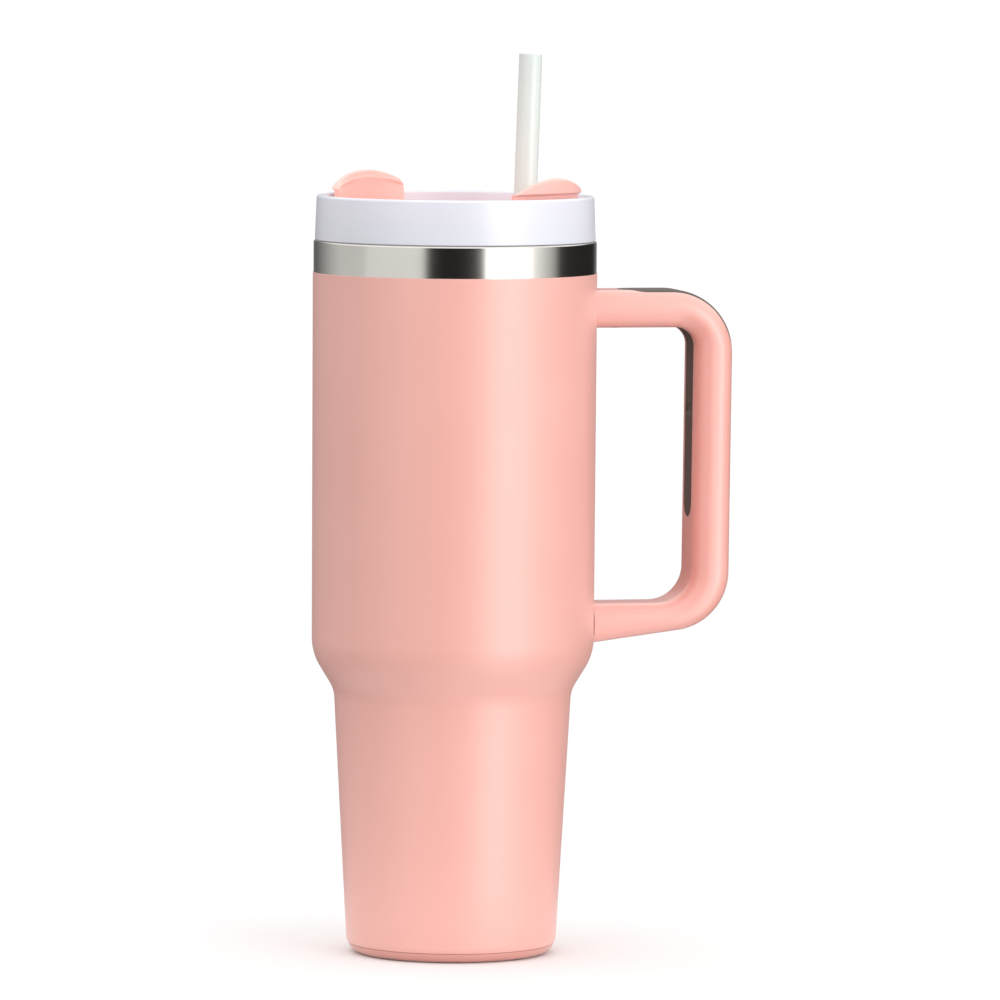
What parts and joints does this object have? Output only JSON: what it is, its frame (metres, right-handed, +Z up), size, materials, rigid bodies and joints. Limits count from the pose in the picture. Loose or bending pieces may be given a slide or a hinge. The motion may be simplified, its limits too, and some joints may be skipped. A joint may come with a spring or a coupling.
{
  "type": "insulated tumbler with handle, lid and straw",
  "caption": "Tall double-walled steel tumbler with a tapered base, a looped side handle with soft grips, a clear press-in lid with a turning cover, and a straw.",
  "frame": {"origin": "centre of the body's own axis, on the flat ring that the tumbler stands on", "axes": "+Z up along the body's axis, +X through the middle of the handle, +Y completes a right-handed set"},
  "size_m": [0.1457, 0.098, 0.3105],
  "materials": {
    "brushed_shell": "brushed round the body where it is left bare",
    "coat": "pink powder coat, satin with a fine orange-peel",
    "liner_steel": "electropolished steel",
    "plain_steel": "plain rolled steel",
    "solder_glass": "dark solder glass",
    "getter_metal": "dull sintered metal",
    "coated_steel": "pink powder coat over steel",
    "screw_steel": "bright screw steel",
    "grip_rubber": "warm grey soft-touch rubber",
    "handle_plastic": "pink satin plastic",
    "lid_plastic": "frosted white, lets light through",
    "seal_silicone": "milky silicone",
    "cover_plastic": "pink satin plastic",
    "straw_plastic": "milky clear plastic"
  },
  "bodies": {
    "vessel": {"outer_shell": "brushed_shell", "powder_coat": "coat", "inner_liner": "liner_steel", "liner_floor": "liner_steel", "vacuum_base": "plain_steel", "vacuum_seal": "solder_glass", "getter": "getter_metal", "base_cap": "coated_steel", "bracket_upper": "plain_steel", "bracket_lower": "plain_steel", "handle_screws": "screw_steel", "screw_plugs": "grip_rubber", "handle": "handle_plastic", "grip_outer": "grip_rubber", "grip_inner": "grip_rubber"},
    "lid": {"lid": "lid_plastic", "lid_gasket": "seal_silicone", "straw_grommet": "seal_silicone", "pivot_seal": "seal_silicone"},
    "cover": {"rotary_cover": "cover_plastic", "cover_pad": "seal_silicone", "cover_pivot": "cover_plastic"},
    "straw": {"straw": "straw_plastic"}
  },
  "joints": [
    {"name": "lid_lift", "type": "slide", "parent": "vessel", "child": "lid", "axis": [0, 0, 1], "range_m": [0, 0.24]},
    {"name": "cover_turn", "type": "hinge", "parent": "lid", "child": "cover", "pos_m": [0, 0, 0.2545], "axis": [0, 0, 1], "range_deg": [-62, 0]},
    {"name": "straw_pull", "type": "slide", "parent": "lid", "child": "straw", "axis": [0.0356, 0.0166, 0.9992], "range_m": [0, 0.255]}
  ]
}
